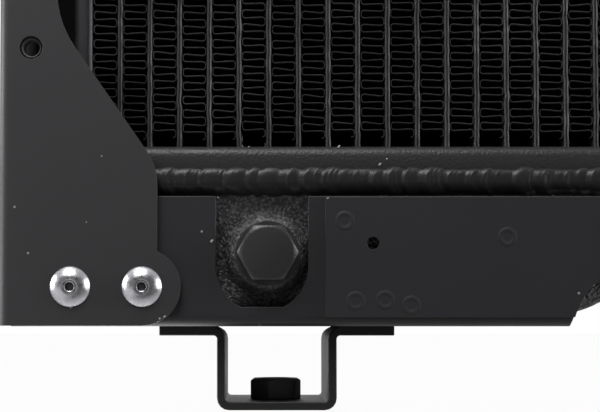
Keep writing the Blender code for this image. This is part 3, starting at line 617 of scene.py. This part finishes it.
def build_headers():
    """The header plates, with a full round on the core side and the other edge buried in the weld."""
    for end in ("lower", "upper"):
        node = f"{end}_header_plate"
        low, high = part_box(node)
        path, outward = rounded_path(high[0], high[1], HEADER_CORNER, 4 * MM)
        buried = low[2] - HEADER_BURIED
        lip = [(-HEADER_LIP, buried)]
        for angle in np.linspace(-np.pi / 2, np.pi / 2, 13):
            size = 0.3 * MM if angle < 0 else HEADER_EDGE
            z = buried + size if angle < 0 else high[2] - size
            lip.append((size * (np.cos(angle) - 1), z + size * np.sin(angle)))
        lip.append((-HEADER_LIP, high[2]))
        lip = np.array(lip)
        if end == "upper":
            lip[:, 1] = low[2] + high[2] - lip[:, 1]
        rings = np.empty((len(path), len(lip), 3))
        rings[:, :, :2] = path[:, None] + outward[:, None] * lip[:, :1]
        rings[:, :, 2] = lip[:, 1]
        mesh = loft(f"{end}_header_lip", rings, closed_path=True, closed_section=False)
        work = bmesh.new()
        work.from_mesh(mesh)
        bmesh.ops.holes_fill(work, edges=[e for e in work.edges if e.is_boundary])
        work.to_mesh(mesh)
        work.free()
        piece(cleaned(mesh), "header", [node])


def dab_starts(total, least, most):
    """Where the dabs of a bead begin along its whole run."""
    starts = np.cumsum(rng.uniform(least, most, int(total / least)))
    return np.concatenate([[0], starts[starts < total - least], [total]])


def swelling(along, starts, swell, sharpness, crest=0.5):
    """The height of the dab that each point along the bead lies on, with its crest at that share of it."""
    dab = np.clip(np.searchsorted(starts, along, side="right") - 1, 0, len(starts) - 2)
    share = (along - starts[dab]) / (starts[dab + 1] - starts[dab])
    away = np.where(share < crest, 1 - share / crest, (share - crest) / (1 - crest))
    return swell[dab] * (1 - away**sharpness)


def build_weld_beads():
    """A full bead of overlapping dabs, with finer ripples bowed across it and ragged edges."""
    for end, upward in (("lower", 1), ("upper", -1)):
        node = f"{end}_weld_bead"
        low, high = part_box(node)
        path, outward = rounded_path(high[0] - WELD_REACH, high[1] - WELD_REACH, WELD_CORNER, WELD_STEP)
        steps = np.linalg.norm(np.diff(path, axis=0, append=path[:1]), axis=1)
        total = steps.sum()
        run = np.concatenate([[0], np.cumsum(steps)[:-1]])
        dabs, ripples = dab_starts(total, *DAB_LENGTHS), dab_starts(total, *RIPPLE_LENGTHS)
        swell = rng.uniform(0.2, 1.3, len(dabs))
        scallop = rng.uniform(-0.3, 1.2, len(dabs))
        ridge = np.clip(rng.uniform(-0.4, 1.3, len(ripples)), 0, None)
        middle = (low[2] + high[2] + upward * WELD_OVER_HEADER) / 2
        half = (high[2] - low[2] + WELD_OVER_HEADER) / 2 - WELD_END_ROOM
        turn = np.linspace(-np.pi / 2, np.pi / 2, 25)
        rings = np.empty((len(path), len(turn), 3))
        for j, angle in enumerate(turn):
            squareness = 0.62 if angle > 0 else 1.0
            across = math.copysign(abs(math.sin(angle)) ** squareness, angle)
            full = max(math.cos(angle), 0) ** squareness
            bowed = (run + WELD_BOW * (1 - across * across)) % total
            bulge = DAB_SWELL * swelling(bowed, dabs, swell, 2.2, 0.35) - WELD_DIP
            bulge += RIPPLE_SWELL * swelling(bowed, ripples, ridge, 1.4, 0.25)
            edge = DAB_SCALLOP * swelling(bowed, dabs, scallop, 2.2)
            edge += RIPPLE_SCALLOP * swelling(bowed, ripples, ridge, 2)
            stand = WELD_REACH * full + bulge * min(1, 2 * full) - WELD_SETBACK
            rings[:, j, :2] = path + outward * stand[:, None]
            rings[:, j, 2] = middle + upward * (half * across + edge * across * abs(across))
        piece(loft(f"{end}_weld_ripples", rings, closed_path=True), "weld", [node])


def build_tanks():
    """The frame's own tanks with soft edges and the lumps of a sand casting."""
    for end in ("lower", "upper"):
        node = f"{end}_tank"
        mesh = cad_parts[node].data.copy()
        rough = bpy.data.objects.new(node + " casting", cleaned(mesh))
        bpy.context.scene.collection.objects.link(rough)
        voxels = rough.modifiers.new("casting", "REMESH")
        voxels.mode = "VOXEL"
        voxels.voxel_size = CAST_VOXEL
        graph = bpy.context.evaluated_depsgraph_get()
        cast = bpy.data.meshes.new_from_object(rough.evaluated_get(graph))
        bpy.data.objects.remove(rough, do_unlink=True)
        cast.name = f"{end}_tank_casting"
        normals = [vertex.vector.copy() for vertex in cast.vertex_normals]
        for vertex, normal in zip(cast.vertices, normals):
            lump = noise.noise(vertex.co * 240) + noise.noise(vertex.co * 640)
            vertex.co += normal * (CAST_LUMP * lump - 0.05 * MM)
        cast.shade_smooth()
        piece(cast, "cast_tank", [node])


# Fasteners

def build_rivets():
    """Blind rivets, turned from profiles in millimetres, with the broken mandrel in each."""
    stem = [(0, 1.0), (0.7, 1.1), (1.15, 0.9), (1.3, 0.5), (1.3, -0.2), (0, -0.2)]
    profile = [(0, -0.3), (1.38, -0.3), (1.42, 1.9), (1.52, 2.26), (1.66, 2.34), (1.84, 2.3), (1.94, 2.1)]
    profile += [(1.98, 1.5), (2.12, 1.5), (2.16, 2.26), (2.28, 2.42), (2.6, 2.46), (3.1, 2.42), (3.7, 2.27)]
    profile += [(4.5, 1.92), (5.3, 1.42), (6.0, 0.86), (6.45, 0.46)]
    profile += [(6.68, 0.22), (6.7, 0.08), (6.5, 0.02), (3.1, 0.02), (3.1, -5.2), (4.2, -6.2), (4.4, -7.0)]
    profile += [(3.8, -8.6), (2.0, -9.2), (0, -9.3)]
    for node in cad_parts:
        if node.startswith("rivet_"):
            direction = FRONT if "_front_" in node else REAR
            seat = centre_of(node)
            seat.y = direction.y * RIVET_SEAT
            mesh = turned(node + "_head", lambda angle: np.array(profile) * MM, 72)
            mesh.transform(facing(seat, direction))
            piece(mesh, "rivet_steel", [node])
            mesh = turned(node + "_mandrel", lambda angle: np.array(stem) * MM, 36)
            mesh.transform(facing(seat, direction))
            piece(mesh, "mandrel", [node])


def hexagon_radius(across_flats, angle):
    folded = angle % (math.pi / 3) - math.pi / 6
    return min(across_flats / 2 / math.cos(folded), across_flats / math.sqrt(3) * 0.985)


def hexagon_nut(name, across_flats, thick, bore, turn=0.0):
    """A nut on +Z above its seat at Z 0, with its far side chamfered and a countersunk, threaded bore."""
    crown, sink = 0.47 * across_flats, 0.8 * MM
    down = np.linspace(thick - sink, sink, 60)

    def profile_at(angle):
        outside = hexagon_radius(across_flats, angle - turn)
        edge = thick - (outside - crown) * math.tan(math.radians(30))
        saw = np.abs((down / THREAD_PITCH + angle / (2 * math.pi)) % 1 - 0.5) * 2
        thread = list(zip(bore + 0.5 * MM * saw, down))
        outer = [(crown, thick), (outside - 0.15 * MM, edge), (outside, edge - 0.2 * MM)]
        outer.append((outside, 0.2 * MM))
        return [(bore + sink, thick)] + thread + [(bore + sink, 0), (outside - 0.2 * MM, 0)] + outer[::-1]

    return turned(name, profile_at, 96, ring=True)


def build_nuts():
    """The weld nuts, each with a countersunk collar in the sheet's hole, and the nuts in the brackets."""
    pilot = [(3.3, 0.1), (3.3, -1.7), (3.2, -1.85), (2.62, -1.0), (2.62, 0.1)]
    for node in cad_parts:
        if node.startswith("weld_nut_"):
            nut = hexagon_nut(node + "_nut", WELD_NUT_ACROSS_FLATS, WELD_NUT_THICK, WELD_NUT_BORE)
            collar = turned("collar", lambda angle: np.array(pilot) * MM, 48, ring=True)
            mesh = joined(node + "_hexagon", [nut, collar])
            seat = centre_of(node)
            seat.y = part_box(node)[0][1]
            mesh.transform(facing(seat, REAR))
            piece(mesh, "nut_steel", [node])
        if node.endswith("_mount_nut"):
            low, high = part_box(node)
            thick = high[2] - low[2] + 2 * SEAT_GAP
            name = node + "_hexagon"
            mesh = hexagon_nut(name, FOOT_NUT_ACROSS_FLATS, thick, FOOT_NUT_BORE, FOOT_NUT_TURN)
            mesh.transform(Matrix.Translation((centre_of(node).x, 0, low[2] - SEAT_GAP)))
            piece(mesh, "foot_nut", [node])


def hexagon_screw(name, across_flats, head, shank, length):
    """A hexagon head with its turned chamfer on +Z, and a threaded shank below its seat at Z 0."""
    crown = 0.47 * across_flats
    down = np.linspace(-1.2 * MM, 1.2 * MM - length, 96)
    ease = np.clip(np.minimum(-down - 1.2 * MM, down + length - 1.2 * MM) / (0.8 * MM), 0, 1)

    def profile_at(angle):
        outside = hexagon_radius(across_flats, angle)
        edge = head - (outside - crown) * math.tan(math.radians(30))
        top = [(0, head), (crown - 0.5 * MM, head), (crown, head - 0.12 * MM)]
        side = [(outside - 0.15 * MM, edge), (outside, edge - 0.2 * MM), (outside, 0.2 * MM)]
        under = [(outside - 0.2 * MM, 0), (shank, 0)]
        saw = np.abs((down / THREAD_PITCH + angle / (2 * math.pi)) % 1 - 0.5) * 2
        thread = shank - 0.75 * MM * ease * saw
        end = [(shank - 0.9 * MM, -length), (0, -length)]
        return top + side + under + list(zip(thread, down)) + end

    return turned(name, profile_at, 96)


def washer(name, outer, inner, thick):
    rim = 0.2 * MM
    ring = [(inner, 0), (outer - rim, 0), (outer, rim)]
    ring += [(outer, thick - rim), (outer - rim, thick), (inner, thick)]
    return turned(name, lambda angle: ring, 72, ring=True)


def build_drain_plug():
    """The plug and its washer, each riding on its own body."""
    low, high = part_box("drain_plug_washer")
    middle = centre_of("drain_plug_washer")
    seal = washer("plug_seal", high[0] - middle.x, 6.4 * MM, high[1] - low[1])
    seal.transform(facing((middle.x, high[1], middle.z), FRONT))
    piece(seal, "seal", ["drain_plug_washer"], "plug_washer")
    plug = hexagon_screw("plug_hexagon", PLUG_ACROSS_FLATS, PLUG_HEAD, PLUG_SHANK, PLUG_LENGTH)
    plug.transform(facing((middle.x, low[1] - SEAT_GAP, middle.z), FRONT))
    piece(plug, "black_steel", ["drain_plug"], "plug")


# Stage

def build_stage():
    """A pale floor, white to the camera, that reflections see bright only under and beside the cooler."""
    scene = bpy.context.scene
    floor_mesh = bpy.data.meshes.new("studio_floor")
    work = bmesh.new()
    bmesh.ops.create_grid(work, x_segments=1, y_segments=1, size=FLOOR_HALF)
    work.to_mesh(floor_mesh)
    work.free()
    floor = bpy.data.objects.new("studio_floor", floor_mesh)
    floor.location.z = CAD_BOX[0][2] - FLOOR_DROP
    scene.collection.objects.link(floor)
    material = bpy.data.materials.new("white floor")
    material.use_nodes = True
    tree = material.node_tree
    tree.nodes.clear()
    where = object_coordinates(tree)
    dust = add_node(tree, "TexNoise", {"Vector": where, "Scale": 6}).outputs["Fac"]
    tone = ranged(tree, dust, 0.3, 0.7, 0.22, 0.26)
    matte = add_node(tree, "BsdfDiffuse", {"Color": tone})
    path = add_node(tree, "LightPath").outputs
    reflected = maths(tree, "MAXIMUM", path["Is Glossy Ray"], path["Is Transmission Ray"])
    ground = add_node(tree, "SeparateXYZ", {0: where}).outputs
    under = ranged(tree, ground["Y"], -0.10, -0.045, CARD_DIM, TENT)
    beside = ranged(tree, ground["X"], -0.19, -0.23, CARD_DIM, TENT)
    card = maths(tree, "MULTIPLY", reflected, maths(tree, "MAXIMUM", under, beside))
    strength = maths(tree, "MAXIMUM", path["Is Camera Ray"], card)
    glow = add_node(tree, "Emission", {"Strength": strength})
    seen = maths(tree, "MAXIMUM", path["Is Camera Ray"], reflected)
    share = maths(tree, "MULTIPLY", seen, FLOOR_GLOW)
    blend = add_node(tree, "MixShader", {0: share, 1: matte.outputs[0], 2: glow.outputs[0]})
    add_node(tree, "OutputMaterial", {"Surface": blend.outputs[0]})
    floor_mesh.materials.append(material)


def build_world():
    """White wherever the camera looks. For the rest, a tent that is bright at the sides and dim in front."""
    world = bpy.data.worlds.new("white tent")
    bpy.context.scene.world = world
    world.use_nodes = True
    tree = world.node_tree
    tree.nodes.clear()
    direction = add_node(tree, "TexCoord").outputs["Generated"]
    depth = add_node(tree, "SeparateXYZ", {0: direction}).outputs["Y"]
    tent = ranged(tree, depth, -0.60, -0.15, 0.05, TENT)
    seen = add_node(tree, "LightPath").outputs["Is Camera Ray"]
    strength = maths(tree, "MAXIMUM", seen, tent)
    sky = add_node(tree, "Background", {"Color": (1, 1, 1, 1), "Strength": strength})
    add_node(tree, "OutputWorld", {"Surface": sky.outputs[0]})


def build_lights():
    """Four softboxes, as place, size and power, and a small light table under the left foot of the frame."""
    lamps = {
        "left softbox": ((-1.5, 0.05, 0.4), 0.8, 18),
        "right softbox": ((1.6, -0.45, 0.4), 0.8, 14),
        "top softbox": ((-0.27, -0.36, 0.62), 0.35, 3.2),
        "rear softbox": ((0.4, 1.2, 1.2), 0.9, 3),
    }
    target = Vector((-0.10, -0.04, 0.12))
    table = bpy.data.lights.new("light table", "AREA")
    table.shape = "RECTANGLE"
    table.size, table.size_y = 0.07, 0.08
    table.energy = 0.045
    panel = bpy.data.objects.new("light table", table)
    panel.location = (-0.185, 0, CAD_BOX[0][2] - FLOOR_DROP + LAMP_OVER_FLOOR)
    panel.rotation_euler.x = math.pi
    bpy.context.scene.collection.objects.link(panel)
    for name, (place, size, power) in lamps.items():
        light = bpy.data.lights.new(name, "AREA")
        light.shape = "SQUARE"
        light.size = size
        light.energy = power
        lamp = bpy.data.objects.new(name, light)
        lamp.location = place
        lamp.rotation_euler = (target - Vector(place)).to_track_quat("-Z", "Y").to_euler()
        bpy.context.scene.collection.objects.link(lamp)


def build_camera():
    data = bpy.data.cameras.new("close view")
    data.lens = CAMERA_LENS
    data.sensor_width = 36
    data.shift_x, data.shift_y = CAMERA_SHIFT
    data.clip_start = 0.01
    camera = bpy.data.objects.new("close view", data)
    camera.location = CAMERA_PLACE
    camera.rotation_euler = (CAMERA_PITCH, 0, 0)
    bpy.context.scene.collection.objects.link(camera)
    scene = bpy.context.scene
    scene.camera = camera
    scene.render.resolution_x, scene.render.resolution_y = PICTURE_SIZE
    scene.view_settings.view_transform = "Standard"


build_sheet_metal()
build_spot_weld_marks()
build_glint_chips()
build_tubes()
build_fins()
build_side_plates()
build_headers()
build_weld_beads()
build_tanks()
build_rivets()
build_nuts()
build_drain_plug()
build_stage()
build_world()
build_lights()
build_camera()
